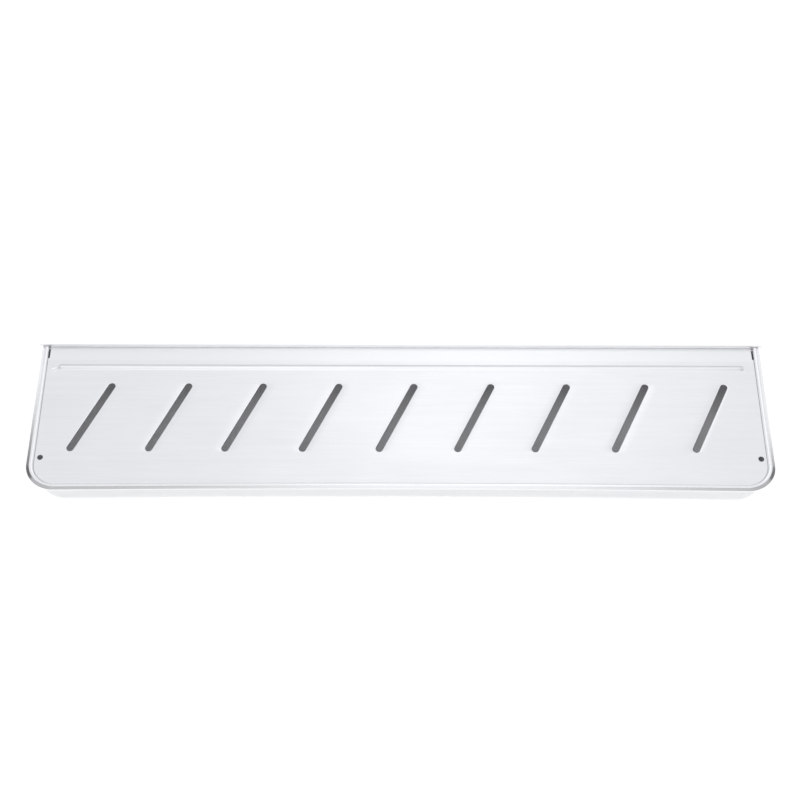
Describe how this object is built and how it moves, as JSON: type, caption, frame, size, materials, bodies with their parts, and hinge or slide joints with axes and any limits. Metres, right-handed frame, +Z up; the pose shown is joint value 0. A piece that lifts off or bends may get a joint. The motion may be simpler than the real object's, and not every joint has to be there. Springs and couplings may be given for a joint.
{
  "type": "baguette tray",
  "caption": "Long shallow aluminium tray for baguettes, with a slotted deck that lifts out of a crumb pan with a rolled rim and a raised back edge.",
  "frame": {"origin": "centre of the tray's footprint, on the surface it stands on", "axes": "+X along the tray's length, -Y towards the rounded front rim, +Z up"},
  "size_m": [0.6536, 0.149, 0.032],
  "materials": {
    "aluminium_sheet": "brushed",
    "galvanised_wire": "satin",
    "rivet_aluminium": "satin"
  },
  "bodies": {
    "pan": {"crumb_pan": "aluminium_sheet", "rim_wire": "galvanised_wire", "rear_plate": "aluminium_sheet", "rear_rivet_1": "rivet_aluminium", "rear_rivet_2": "rivet_aluminium", "rear_rivet_3": "rivet_aluminium", "rear_rivet_4": "rivet_aluminium", "rear_rivet_5": "rivet_aluminium", "rear_rivet_6": "rivet_aluminium", "rear_rivet_7": "rivet_aluminium"},
    "deck": {"slotted_deck": "aluminium_sheet"}
  },
  "joints": [
    {"name": "deck_lift", "type": "slide", "parent": "pan", "child": "deck", "axis": [0, 0, 1], "range_m": [0, 0.06]}
  ]
}
